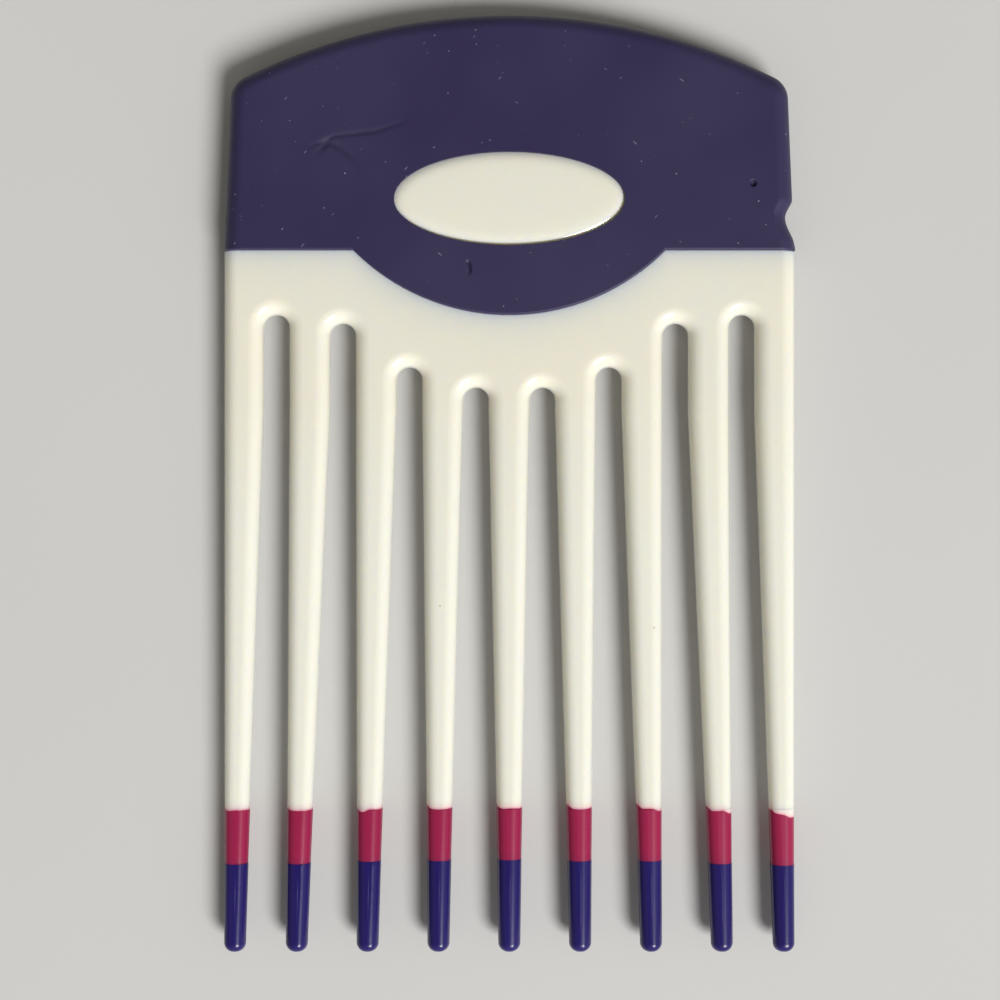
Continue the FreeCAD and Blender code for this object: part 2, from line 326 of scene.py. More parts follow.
@dataclass(frozen=True)
class DipLayout:
    """The nine tines' dip lines, from the left."""

    tines: tuple[TineDip, ...] = (
        TineDip(-52.70, -52.85, -52.75, -52.80, -61.55),
        TineDip(-52.65, -52.75, -52.85, -52.75, -61.50),
        TineDip(-52.75, -53.05, -52.60, -52.65, -61.10),
        TineDip(-52.15, -52.55, -52.60, -52.50, -61.00),
        TineDip(-52.15, -52.50, -52.45, -52.50, -60.85),
        TineDip(-52.05, -52.45, -52.60, -52.50, -61.05),
        TineDip(-51.90, -52.50, -52.50, -52.95, -61.05),
        TineDip(-52.30, -52.90, -52.80, -53.40, -61.50),
        TineDip(-52.80, -53.20, -53.55, -54.00, -61.75),
    )
    pitch: float = 11.35
    outer: float = 44.3
    half_width: float = 2.05
    past_side: float = 0.6
    ear_inset: float = 0.1
    left_inset: float = 0.75
    middle_offset: float = 0.3
    right_inset: float = 0.2
    second_fan: float = 1.006
    second_reach: float = 3.2
    half_span: float = 50.0
    low: float = -64.0
    high: float = -51.0

    @property
    def outermost(self) -> int:
        """The outer tines' order, counted from the middle one."""
        return len(self.tines) // 2

    def middle_of(self, order: int) -> float:
        """Where a tine's middle line lies at the dips.

        Args:
            order: The tine, counted from the middle one, negative to the left.

        Returns:
            Its place across the pick.
        """
        return math.copysign(self.outer, order) if abs(order) == self.outermost else self.pitch * order

    def first_line(self) -> list[Point]:
        """The upper edge of the first dip.

        Returns:
            Places across the pick and heights, in millimetres.
        """
        line = []
        for order, tine in enumerate(self.tines, start=-self.outermost):
            middle = self.middle_of(order)
            left, right = middle - self.half_width, middle + self.half_width
            line += [(left - self.past_side, tine.ear), (left + self.ear_inset, tine.ear),
                     (left + self.left_inset, tine.left), (middle + self.middle_offset, tine.middle),
                     (right - self.right_inset, tine.right), (right + self.past_side, tine.right)]
        return line

    def second_line(self) -> list[Point]:
        """The upper edge of the second dip.

        Returns:
            Places across the pick and heights, in millimetres.
        """
        line = []
        for order, tine in enumerate(self.tines, start=-self.outermost):
            middle = self.middle_of(order) * self.second_fan
            line += [(middle - self.second_reach, tine.second), (middle + self.second_reach, tine.second)]
        return line


@dataclass(frozen=True)
class DippedColour(EffectGroup):
    """The colour along a tine: bare plastic, a pink blush (partly dye past the first dip's edge, partly
    painted light: the coat's colour glowing through the ivory), the first dip and the second.

    Each blend runs between two heights over a dip's edge, in metres.
    """

    name: str = "dipped_colour"
    layout: DipLayout = DipLayout()
    inputs: tuple = (("Place", "Vector", None), ("Bare", "Color", None), ("First dip", "Color", None),
                     ("Second dip", "Color", None))
    outputs: tuple = (("Color", "Color"), ("Coated", "Float"))
    ripple: float = 0.22
    ripple_grain: float = 700.0
    # The blush is partly dye seeped past the first dip's edge and partly painted light: the coat's colour
    # glowing through the ivory.
    blush: Colour = (0.78, 0.47, 0.47)
    blush_blend: Point = (1.9 * MM, 0.0)
    blush_share: float = 0.55
    thin_coat: Colour = (0.80, 0.22, 0.33)
    thin_blend: Point = (0.34 * MM, 0.12 * MM)
    thin_share: float = 0.62
    first_blend: Point = (0.05 * MM, -0.03 * MM)
    band: Colour = (0.16, 0.012, 0.075)
    band_blend: Point = (1.6 * MM, 0.0)
    band_share: float = 0.22
    second_blend: Point = (0.06 * MM, -0.04 * MM)

    def height_curve(self, wiring: Wiring, across: Term, line: list[Point]) -> Socket:
        """Read a dip's upper edge at a place across the pick.

        Args:
            wiring: The group's wiring.
            across: The place across the pick in metres.
            line: Points of the edge in millimetres.

        Returns:
            The edge's height in metres.
        """
        span = self.layout.half_span * MM
        share = wiring.math("DIVIDE", wiring.math("ADD", across, span), 2 * span)
        curve = wiring.node("FloatCurve", {"Value": share})
        points = curve.mapping.curves[0].points
        scaled = [((x + self.layout.half_span) / (2 * self.layout.half_span),
                   (y - self.layout.low) / (self.layout.high - self.layout.low)) for x, y in line]
        points[0].location, points[-1].location = (0.0, scaled[0][1]), (1.0, scaled[-1][1])
        for x, y in scaled:
            points.new(x, y)
        for point in points:
            point.handle_type = "AUTO_CLAMPED"
        curve.mapping.update()
        rise = (self.layout.high - self.layout.low) * MM
        return wiring.math("ADD", wiring.math("MULTIPLY", curve.outputs[0], rise), self.layout.low * MM)

    def build(self) -> Tree:
        """Wire the group.

        Returns:
            The group's node tree.
        """
        wiring, given, result = self.open()
        place = wiring.node("SeparateXYZ", {"Vector": given.outputs["Place"]})
        across, along = place.outputs["X"], place.outputs["Y"]
        wave = wiring.noise(given.outputs["Place"], self.ripple_grain)
        ripple = wiring.math("MULTIPLY", wiring.math("SUBTRACT", wave, 0.5), self.ripple * MM)
        first = wiring.math("ADD", self.height_curve(wiring, across, self.layout.first_line()), ripple)
        second = self.height_curve(wiring, across, self.layout.second_line())
        above = wiring.math("SUBTRACT", along, first)
        above_second = wiring.math("SUBTRACT", along, second)
        # Partly painted light: the pink blush fades up from the first dip.
        soft = wiring.rise(above, *self.blush_blend)
        blushed = wiring.math("MULTIPLY", soft, wiring.math("MULTIPLY", soft, self.blush_share))
        colour = wiring.mix(blushed, given.outputs["Bare"], self.blush)
        thin = wiring.math("MULTIPLY", wiring.rise(above, *self.thin_blend), self.thin_share)
        colour = wiring.mix(thin, colour, self.thin_coat)
        coated = wiring.rise(above, *self.first_blend)
        near_second = wiring.rise(above_second, *self.band_blend)
        banded = wiring.mix(wiring.math("MULTIPLY", near_second, self.band_share),
                            given.outputs["First dip"], self.band)
        colour = wiring.mix(coated, colour, banded)
        colour = wiring.mix(wiring.rise(above_second, *self.second_blend), colour,
                            given.outputs["Second dip"])
        wiring.feed(colour, result.inputs["Color"])
        wiring.feed(coated, result.inputs["Coated"])
        return wiring.tree


@dataclass(frozen=True)
class RubberShade(EffectGroup):
    """How far the ivory lies in the shade of the rubber, along the grip's lower edge."""

    name: str = "rubber_shade"
    inputs: tuple = (("Place", "Vector", None),)
    outputs: tuple = (("Mask", "Float"),)
    shoulder: float = 37.75
    belly_centre: float = 62.91
    belly_radius: float = 35.61
    reach: float = 2.2
    hidden: float = -0.3

    def build(self) -> Tree:
        """Wire the group.

        Returns:
            The group's node tree.
        """
        wiring, given, result = self.open()
        place = wiring.node("SeparateXYZ", {"Vector": given.outputs["Place"]})
        across, along = place.outputs["X"], place.outputs["Y"]
        drop = wiring.math("SUBTRACT", along, self.belly_centre * MM)
        radius = wiring.math("SQRT", wiring.math("MULTIPLY_ADD", across, across,
                                                 wiring.math("MULTIPLY", drop, drop)))
        below = wiring.math("MINIMUM", wiring.math("SUBTRACT", self.shoulder * MM, along),
                            wiring.math("SUBTRACT", radius, self.belly_radius * MM))
        shade = wiring.math("EXPONENT", wiring.math("DIVIDE", below, -self.reach * MM))
        shown = wiring.math("GREATER_THAN", below, self.hidden * MM)
        wiring.feed(wiring.math("MULTIPLY", wiring.math("MINIMUM", shade, 1.0), shown),
                    result.inputs["Mask"])
        return wiring.tree


@dataclass
class EffectShelf:
    """The shared effects, each built once."""

    skin: Tree = field(default_factory=MouldedSkin().build)
    specks: Tree = field(default_factory=Specks().build)
    dips: Tree = field(default_factory=DippedColour().build)
    shade: Tree = field(default_factory=RubberShade().build)


# Finishes


@dataclass(frozen=True)
class Marks:
    """Small marks on a finish: cells in a metre, radius in cells, share of cells marked, and strength."""

    cells: float
    radius: float
    share: float
    strength: float


@dataclass(frozen=True)
class Finish:
    """A material: its shader's plain values, and the effects that vary over the surface.

    The grain and the drift are given as features in a metre.
    """

    name: str
    roughness: float
    roughness_spread: float
    bump: float
    grain: float
    specular: float
    drift: float = 45.0
    drift_gain: float = 1.12
    bump_reach: float = 0.02

    def start(self) -> tuple[Wiring, Node, Socket, Material]:
        """Make the material with its shader's plain values set.

        Returns:
            Its wiring, its shader, the coordinate its patterns read, and the material.
        """
        material = bpy.data.materials.new(self.name)
        material.use_nodes = True
        tree = material.node_tree
        shader = next(node for node in tree.nodes if node.type == "BSDF_PRINCIPLED")
        shader.inputs["Specular IOR Level"].default_value = self.specular
        wiring = Wiring(tree)
        return wiring, shader, wiring.node("TexCoord").outputs["Object"], material

    def lay_skin(self, wiring: Wiring, shelf: EffectShelf, place: Term, shader: Node) -> Socket:
        """Let the roughness and the surface follow the skin's unevenness.

        Args:
            wiring: The material's wiring.
            shelf: The shared effects.
            place: The coordinate that the skin reads.
            shader: The material's shader.

        Returns:
            The slow drift of shade, from 0 to 1.
        """
        skin = wiring.node("Group", {"Place": place, "Grain per metre": self.grain,
                                     "Drift per metre": self.drift}, node_tree=shelf.skin)
        drift = skin.outputs["Drift"]
        change = wiring.math("MULTIPLY", wiring.math("SUBTRACT", drift, 0.5), self.roughness_spread)
        wiring.feed(wiring.math("ADD", change, self.roughness), shader.inputs["Roughness"])
        bump = wiring.node("Bump", {"Strength": self.bump, "Distance": self.bump_reach * MM,
                                    "Height": skin.outputs["Height"]})
        wiring.feed(bump.outputs["Normal"], shader.inputs["Normal"])
        return drift

    def drifting(self, wiring: Wiring, drift: Term, colour: Colour) -> Socket:
        """A colour that grows a little brighter with the drift.

        Args:
            wiring: The material's wiring.
            drift: The drift of shade.
            colour: The colour where the drift is 0.

        Returns:
            The drifting colour.
        """
        return wiring.mix(drift, colour, tuple(part * self.drift_gain for part in colour))

    def mark(self, wiring: Wiring, shelf: EffectShelf, place: Term, marks: Marks,
             mark_weight: Term = 1.0) -> Socket:
        """Scatter small marks.

        Args:
            wiring: The material's wiring.
            shelf: The shared effects.
            place: The coordinate that the marks read.
            marks: Their number, size and strength.
            mark_weight: What their number is multiplied by.

        Returns:
            How strongly a mark shows.
        """
        specks = wiring.node("Group", {
            "Place": place, "Cells per metre": marks.cells, "Radius in cells": marks.radius,
            "Share of cells": wiring.math("MULTIPLY", mark_weight, marks.share)}, node_tree=shelf.specks)
        return wiring.math("MULTIPLY", specks.outputs["Mask"], marks.strength)


@dataclass(frozen=True)
class TinePlastic(Finish):
    """The finish of the moulding and of both dips: one colour chain, read up the tine, with painted light
    that whitens the thin tines and painted shade along the rubber.
    """

    bare: Colour = (0.788, 0.770, 0.688)
    bare_drift: Colour = (0.804, 0.774, 0.664)
    # Painted light: the ivory is whitened down the tines, for light that shines through the thin plastic.
    thin_glow_tone: Colour = (0.800, 0.790, 0.715)
    thin_glow_below: float = 24.0
    thin_glow_from: float = -15.0
    shaded: Colour = (0.612, 0.640, 0.625)
    first: Colour = (0.288, 0.0100, 0.0590)
    second: Colour = (0.0122, 0.0068, 0.102)
    glow: float = 0.0
    glow_spread: Colour = (1.0, 0.82, 0.32)
    glow_reach: float = 2.2
    dust: Marks = Marks(260.0, 0.055, 0.10, 0.55)
    dark_dust: Colour = (0.42, 0.20, 0.08)
    pale_dust: Colour = (0.45, 0.43, 0.55)

    def build(self, shelf: EffectShelf) -> Material:
        """Make the material.

        Args:
            shelf: The shared effects.

        Returns:
            The finished material.
        """
        wiring, shader, place, material = self.start()
        drift = self.lay_skin(wiring, shelf, place, shader)
        along = wiring.node("SeparateXYZ", {"Vector": place}).outputs["Y"]
        bare = wiring.mix(drift, self.bare, self.bare_drift)
        # Painted light: whiter below the grip and fully so down the tines, for light through the thin
        # plastic.
        bare = wiring.mix(wiring.rise(along, self.thin_glow_below * MM, self.thin_glow_from * MM), bare, self.thin_glow_tone)
        shade = wiring.node("Group", {"Place": place}, node_tree=shelf.shade)
        bare = wiring.mix(shade.outputs["Mask"], bare, self.shaded)
        dipped = wiring.node("Group", {
            "Place": place, "Bare": bare, "First dip": self.drifting(wiring, drift, self.first),
            "Second dip": self.drifting(wiring, drift, self.second)}, node_tree=shelf.dips)
        dust = self.mark(wiring, shelf, place, self.dust)
        tone = wiring.mix(dipped.outputs["Coated"], self.dark_dust, self.pale_dust)
        wiring.feed(wiring.mix(dust, dipped.outputs["Color"], tone), shader.inputs["Base Color"])
        shader.inputs["Subsurface Weight"].default_value = self.glow
        shader.inputs["Subsurface Radius"].default_value = self.glow_spread
        shader.inputs["Subsurface Scale"].default_value = self.glow_reach * MM
        return material


@dataclass(frozen=True)
class Strokes:
    """Scuffs that run one way: their turn in radians, how long they are drawn out, and the marks."""

    turn: float
    stretch: float
    marks: Marks


@dataclass(frozen=True)
class GripRubber(Finish):
    """Soft dark purple rubber with lint, faint scuffs, a slow drift of tone, and painted shade darkening its
    dents and pit.
    """

    drift: float = 38.0
    base: Colour = (0.0262, 0.0198, 0.0680)
    paler: Colour = (0.0322, 0.0256, 0.0760)
    worn_slope: float = -10.0
    strokes: tuple[Strokes, ...] = (Strokes(0.9, 5.0, Marks(780.0, 0.075, 0.42, 0.55)),
                                    Strokes(2.4, 4.0, Marks(780.0, 0.075, 0.34, 0.55)))
    scuff: Colour = (0.26, 0.26, 0.38)
    fluff: Marks = Marks(900.0, 0.10, 0.22, 0.7)
    lint: Colour = (0.46, 0.46, 0.55)
    # Painted shade: a near-black purple laid into the dents and the pit, broken up in patches by noise.
    dent_shade_tone: Colour = (0.010, 0.009, 0.020)
    dent_shade_grain: float = 700.0
    dent_shade_detail: float = 3.0
    dent_shade_blend: Point = (0.25, 0.65)
    dent_shade_least: float = 0.4

    def build(self, shelf: EffectShelf) -> Material:
        """Make the material.

        Args:
            shelf: The shared effects.

        Returns:
            The finished material.
        """
        wiring, shader, place, material = self.start()
        colour = wiring.mix(self.lay_skin(wiring, shelf, place, shader), self.base, self.paler)
        across = wiring.node("SeparateXYZ", {"Vector": place}).outputs["X"]
        worn_side = wiring.math("MULTIPLY_ADD", across, self.worn_slope, 1.0)
        for stroke in self.strokes:
            drawn_out = wiring.node("Mapping", {"Vector": place, "Rotation": (0.0, 0.0, stroke.turn),
                                                "Scale": (1.0, stroke.stretch, 1.0)}, vector_type="TEXTURE")
            scuffed = self.mark(wiring, shelf, drawn_out.outputs[0], stroke.marks, worn_side)
            colour = wiring.mix(scuffed, colour, self.scuff)
        colour = wiring.mix(self.mark(wiring, shelf, place, self.fluff, worn_side), colour, self.lint)
        # Painted shade in the dents and the pit: stronger where they sink deeper, and patchy.
        mark_weight = wiring.node("Attribute", attribute_name=DENT_SHADE).outputs["Fac"]
        patchy = wiring.rise(wiring.noise(place, self.dent_shade_grain, self.dent_shade_detail), *self.dent_shade_blend)
        patchy_shade = wiring.math("MULTIPLY_ADD", patchy, 1 - self.dent_shade_least, self.dent_shade_least)
        colour = wiring.mix(wiring.math("MULTIPLY", mark_weight, patchy_shade), colour, self.dent_shade_tone)
        wiring.feed(colour, shader.inputs["Base Color"])
        return material


@dataclass(frozen=True)
class FloorPaint(Finish):
    """A plain pale floor."""

    drift: float = 9.0
    drift_gain: float = 1.02
    tone: Colour = (0.578, 0.572, 0.562)

    def build(self, shelf: EffectShelf) -> Material:
        """Make the material.

        Args:
            shelf: The shared effects.

        Returns:
            The finished material.
        """
        wiring, shader, place, material = self.start()
        drift = self.lay_skin(wiring, shelf, place, shader)
        wiring.feed(self.drifting(wiring, drift, self.tone), shader.inputs["Base Color"])
        return material


# Wear in the rubber, and the painted shade in its dents


@dataclass(frozen=True)
class Patch:
    """A box, seen from the front, whose faces are cut into a fine grid before they are shaped.

    Vertices within on_cut metres of a cut count as on it.
    """

    low: Point
    high: Point
    step: float
    front_only: bool = True
    front_facing: float = 0.99
    on_cut: float = 1e-7

    def holds(self, face: bmesh.types.BMFace) -> bool:
        """Whether a face reaches into the patch, and faces the front if only those are wanted.

        Args:
            face: The face to test.

        Returns:
            True if the grid is to cut it.
        """
        if self.front_only and face.normal.z < self.front_facing:
            return False
        xs = [vert.co.x for vert in face.verts]
        ys = [vert.co.y for vert in face.verts]
        return (max(xs) > self.low[0] * MM and min(xs) < self.high[0] * MM
                and max(ys) > self.low[1] * MM and min(ys) < self.high[1] * MM)

    def cut(self, mesh: Mesh) -> None:
        """Cut the grid into the mesh.

        Args:
            mesh: The mesh to cut.
        """
        for axis, normal in ((0, Vector((1, 0, 0))), (1, Vector((0, 1, 0)))):
            steps = max(int(round((self.high[axis] - self.low[axis]) / self.step)), 1)
            for index in range(steps + 1):
                at = (self.low[axis] + (self.high[axis] - self.low[axis]) * index / steps) * MM
                faces = [face for face in mesh.faces if self.holds(face)
                         and min(v.co[axis] for v in face.verts) < at < max(v.co[axis] for v in face.verts)]
                edges = {edge for face in faces for edge in face.edges}
                verts = {vert for face in faces for vert in face.verts}
                bmesh.ops.bisect_plane(mesh, geom=[*verts, *edges, *faces], dist=self.on_cut,
                                       plane_co=normal * at, plane_no=normal)


@dataclass(frozen=True)
class Crease:
    """A soft dent pressed along a line, darkened with painted shade."""

    points: tuple[Point, ...]
    depth: float
    half_width: float
    painted_shade: float
    reach_widths: float = 2.6
    grid_widths: float = 0.55
    fade_lead: float = -0.05
    fade_in: float = 0.25
    fade_out: float = 0.4

    def patch(self) -> Patch:
        """The part of the front that the crease reaches.

        Returns:
            The patch round the crease.
        """
        reach = self.half_width * self.reach_widths
        xs, ys = [p[0] for p in self.points], [p[1] for p in self.points]
        return Patch((min(xs) - reach, min(ys) - reach), (max(xs) + reach, max(ys) + reach),
                     self.half_width * self.grid_widths)

    def sink(self, x: float, y: float) -> float:
        """How far the surface goes down at a place.

        Args:
            x: Place across the pick.
            y: Place up the pick.

        Returns:
            The depth in millimetres.
        """
        here, best, fade = Vector((x, y)), math.inf, 0.0
        total = len(self.points) - 1
        for index in range(total):
            start, end = Vector(self.points[index]), Vector(self.points[index + 1])
            run = end - start
            share = min(max((here - start).dot(run) / run.length_squared, 0.0), 1.0)
            offset = here - (start + run * share)
            if offset.length < best:
                best = offset.length
                along = (index + share) / total
                fade = (smooth_step(along, self.fade_lead, self.fade_in)
                        * smooth_step(1 - along, self.fade_lead, self.fade_out))
        return fade * self.depth * math.exp(-((best / self.half_width) ** 2))


@dataclass(frozen=True)
class Pit:
    """A small round hole in the surface, darkened with painted shade."""

    centre: Point
    radius: float
    depth: float
    painted_shade: float
    reach_radii: float = 1.5
    grid_steps: int = 6
    flat_share: float = 0.35

    def patch(self) -> Patch:
        """The part of the front that the pit reaches.

        Returns:
            The patch round the pit.
        """
        reach = self.radius * self.reach_radii
        return Patch((self.centre[0] - reach, self.centre[1] - reach),
                     (self.centre[0] + reach, self.centre[1] + reach), self.radius / self.grid_steps)

    def sink(self, x: float, y: float) -> float:
        """How far the surface goes down at a place, in millimetres."""
        distance = math.hypot(x - self.centre[0], y - self.centre[1])
        return self.depth * (1 - smooth_step(distance, self.radius * self.flat_share, self.radius))


@dataclass(frozen=True)
class EdgeNick:
    """A scoop out of the grip's right side, and the thin flash left at the corner below it."""

    top: float = 46.0
    deepest: float = 43.1
    bottom: float = 39.2
    depth: float = 1.25
    flat_from: float = 42.2
    side_from: float = 43.9
    sharpness: float = 0.75
    flash_top: float = 39.3
    flash_fade: float = 1.0
    flash: float = 0.17
    corner_from: float = 45.9
    corner_to: float = 46.15
    past_side: float = 46.45
    above: float = 0.6
    below: float = 1.4
    grid: float = 0.28

    def patch(self) -> Patch:
        """The part of the side and of both faces that the nick reaches."""
        return Patch((self.flat_from, self.bottom - self.below), (self.past_side, self.top + self.above),
                     self.grid, front_only=False)

    def shift(self, x: float, y: float) -> float:
        """How far a place moves across the pick.

        Args:
            x: Place across the pick.
            y: Place up the pick.

        Returns:
            The move in millimetres, negative inwards.
        """
        upper = smooth_step(self.top - y, 0.0, self.top - self.deepest)
        lower = smooth_step(y - self.bottom, 0.0, self.deepest - self.bottom)
        outer = smooth_step(x, self.flat_from, self.side_from)
        scoop = self.depth * min(upper, lower) ** self.sharpness * outer
        low_corner = smooth_step(self.flash_top - y, 0.0, self.flash_fade)
        fin = self.flash * low_corner * smooth_step(x, self.corner_from, self.corner_to)
        return fin - scoop


# Pieces


@dataclass
class PieceMaker:
    """What every sub-assembly needs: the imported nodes, and the way a new piece joins the pick."""

    nodes: dict[str, bpy.types.Object]
    sharp_angle: float = 34.0

    def merged_copy(self, node: str) -> Mesh:
        """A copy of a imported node's mesh with its loose triangles joined.

        Args:
            node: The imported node's name.

        Returns:
            The joined mesh.
        """
        mesh = bmesh.new()
        mesh.from_mesh(self.nodes[node].data)
        bmesh.ops.remove_doubles(mesh, verts=mesh.verts, dist=WELD)
        mesh.normal_update()
        return mesh

    def finish_piece(self, mesh: Mesh, name: str, slot: Slot, material: Material) -> bpy.types.Object:
        """Turn a mesh into a piece that rides on the pick.

        Args:
            mesh: The shaped mesh, which is freed.
            name: The piece's name.
            slot: The record's slot of its finish; not used.
            material: Its finish.

        Returns:
            The new object.
        """
        for face in mesh.faces:
            face.smooth = True
        for edge in mesh.edges:
            edge.smooth = (len(edge.link_faces) == 2
                           and edge.calc_face_angle(0.0) < math.radians(self.sharp_angle))
        data = bpy.data.meshes.new(name)
        mesh.to_mesh(data)
        mesh.free()
        piece = bpy.data.objects.new(name, data)
        bpy.context.scene.collection.objects.link(piece)
        self.dress(piece, material)
        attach(piece, Body.PICK.value)
        LOG.info("%s: %d faces", name, len(data.polygons))
        return piece

    def dress(self, piece: bpy.types.Object, material: Material) -> None:
        """Give a piece its finish."""
        piece.data.materials.clear()
        piece.data.materials.append(material)


@dataclass
class Moulding(PieceMaker):
    """The ivory moulding of plate and tines, with a fine parting ridge on its edge and over the coats.

    Vertices within on_plane metres of the mid-plane count as on it.
    """

    dipped: tuple[str, ...] = ()
    ridge_radius: float = 0.06
    on_plane: float = 1e-8
    end_wall: float = 0.9
    tip_from: float = -70.0
    side_wall: float = 0.3

    def dress_body(self, material: Material) -> None:
        """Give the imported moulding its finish."""
        self.dress(self.nodes["comb_body"], material)
        LOG.info("comb_body: dressed")

    def outline(self, node: str) -> Mesh:
        """The outer edge of a node at the mid-plane, as edges only.

        Args:
            node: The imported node's name.

        Returns:
            A mesh of edges.
        """
        mesh = self.merged_copy(node)
        cut = bmesh.ops.bisect_plane(mesh, geom=[*mesh.verts, *mesh.edges, *mesh.faces],
                                     dist=self.on_plane, plane_co=Vector((0, 0, MID_PLANE * MM)),
                                     plane_no=Vector((0, 0, 1)))
        kept = {item for item in cut["geom_cut"] if isinstance(item, Edge)}
        if node != "comb_body":
            middle = sum(vert.co.x for vert in mesh.verts) / len(mesh.verts)
            kept = {edge for edge in kept if self.faces_outwards(edge, middle)}
        unwanted = [edge for edge in mesh.edges if edge not in kept]
        bmesh.ops.delete(mesh, geom=unwanted, context="EDGES_FACES")
        bmesh.ops.delete(mesh, geom=[vert for vert in mesh.verts if not vert.link_edges], context="VERTS")
        return mesh

    def faces_outwards(self, edge: Edge, middle: float) -> bool:
        """Whether an edge lies on the outer wall of a dip.

        Args:
            edge: An edge of the outline at the mid-plane.
            middle: The tine's middle line across the pick in metres.

        Returns:
            True for the outer wall, False for the wall against the tine.
        """
        normal = edge.link_faces[0].normal
        at = (edge.verts[0].co + edge.verts[1].co) / 2
        if abs(normal.y) > self.end_wall and at.y > self.tip_from * MM:
            return False
        return normal.x * (at.x - middle) > 0 or (abs(normal.x) < self.side_wall and normal.y < 0)

    def build_ridge(self, material: Material) -> bpy.types.Object:
        """Raise a hair-fine ridge where the mould's halves met, over the bare plastic and the coats.

        Args:
            material: The ridge's finish.

        Returns:
            The ridge.
        """
        joined = bpy.data.meshes.new("ridge_lines")
        gathered = bmesh.new()
        for node in ("comb_body", *self.dipped):
            lines = self.outline(node)
            lines.to_mesh(joined)
            lines.free()
            gathered.from_mesh(joined)
        gathered.to_mesh(joined)
        gathered.free()
        carrier = bpy.data.objects.new("ridge_lines", joined)
        bpy.context.scene.collection.objects.link(carrier)
        with bpy.context.temp_override(active_object=carrier, object=carrier, selected_objects=[carrier],
                                       selected_editable_objects=[carrier]):
            bpy.ops.object.convert(target="CURVE")
        carrier.data.bevel_depth = self.ridge_radius * MM
        carrier.data.bevel_resolution = 1
        carrier.data.use_fill_caps = True
        shaped = carrier.evaluated_get(bpy.context.evaluated_depsgraph_get())
        solid = bpy.data.meshes.new_from_object(shaped)
        bpy.data.objects.remove(carrier)
        mesh = bmesh.new()
        mesh.from_mesh(solid)
        low, high = CAD_BOX
        for vert in mesh.verts:
            vert.co.x = min(max(vert.co.x, low[0]), high[0])
            vert.co.y = min(max(vert.co.y, low[1]), high[1])
        return self.finish_piece(mesh, "parting_ridge", Slot.IVORY, material)


@dataclass
class OvalBoss(PieceMaker):
    """The domed ivory oval that fills the grip's window, front and back alike."""

    centre: float = 46.0
    half_long: float = 18.58
    half_short: float = 7.53
    crown: float = 3.68
    dome: float = 0.12
    rim_drop: float = 0.48
    rim_reach: float = 1.20
    rim_rings: int = 12
    rim_width: float = 2.4
    rim_crowding: float = 1.4
    face_rings: int = 7
    segments: int = 160
    weld: float = 1e-5

    def outline_place(self, turn: float, inset: float) -> Vector:
        """A place inside the oval outline, measured square to it.

        Args:
            turn: The angle round the oval in radians.
            inset: The distance inside the outline.

        Returns:
            The place across and up from the boss's centre in millimetres.
        """
        on_line = Vector((self.half_long * math.cos(turn), self.half_short * math.sin(turn)))
        outwards = Vector((self.half_short * math.cos(turn), self.half_long * math.sin(turn))).normalized()
        return on_line - outwards * inset

    def height(self, place: Vector, inset: float) -> float:
        """The face's height over the mid-plane.

        Args:
            place: The place from the boss's centre in millimetres.
            inset: Its distance inside the outline.

        Returns:
            The height in millimetres.
        """
        share = (place.x / self.half_long) ** 2 + (place.y / self.half_short) ** 2
        return self.crown - self.dome * share - self.rim_drop * math.erfc(inset / self.rim_reach)

    def next_ring(self, mesh: Mesh, ring: list[Vert]) -> list[Vert]:
        """Extrude a ring of vertices in place.

        Args:
            mesh: The boss's mesh.
            ring: The ring's vertices in order.

        Returns:
            The new ring's vertices in the same order.
        """
        edges = [mesh.edges.get((vert, ring[place - 1])) for place, vert in enumerate(ring)]
        before = {vert.co.copy().freeze(): place for place, vert in enumerate(ring)}
        made = bmesh.ops.extrude_edge_only(mesh, edges=edges)["geom"]
        fresh = [item for item in made if isinstance(item, Vert)]
        return sorted(fresh, key=lambda vert: before[vert.co.copy().freeze()])

    def build(self, material: Material) -> bpy.types.Object:
        """Make the boss.

        Args:
            material: Its finish.

        Returns:
            The boss.
        """
        mesh = bmesh.new()
        made = bmesh.ops.create_circle(mesh, cap_ends=False, segments=self.segments, radius=1.0)
        ring = made["verts"]
        turns = [math.atan2(vert.co.y, vert.co.x) for vert in ring]
        for vert, turn in zip(ring, turns):
            vert.co = (*self.outline_place(turn, 0.0), 0.0)
        insets = [self.rim_width * (step / self.rim_rings) ** self.rim_crowding
                  for step in range(self.rim_rings + 1)]
        for inset in insets:
            ring = self.next_ring(mesh, ring)
            for vert, turn in zip(ring, turns):
                place = self.outline_place(turn, inset)
                vert.co = (*place, self.height(place, inset))
        for step in range(1, self.face_rings + 1):
            share = 1 - step / (self.face_rings + 1)
            ring = self.next_ring(mesh, ring)
            for vert, turn in zip(ring, turns):
                place = self.outline_place(turn, self.rim_width) * share
                inset = self.rim_width + (1 - share) * self.half_short
                vert.co = (*place, self.height(place, inset))
        cap = bmesh.ops.contextual_create(mesh, geom=ring)["faces"]
        bmesh.ops.poke(mesh, faces=cap)
        whole = [*mesh.verts, *mesh.edges, *mesh.faces]
        bmesh.ops.mirror(mesh, geom=whole, axis="Z", merge_dist=self.weld)
        bmesh.ops.remove_doubles(mesh, verts=mesh.verts, dist=self.weld)
        bmesh.ops.recalc_face_normals(mesh, faces=mesh.faces)
        bmesh.ops.translate(mesh, verts=mesh.verts, vec=(0.0, self.centre, MID_PLANE))
        bmesh.ops.scale(mesh, verts=mesh.verts, vec=(MM, MM, MM))
        mesh.normal_update()
        return self.finish_piece(mesh, "oval_boss", Slot.IVORY, material)


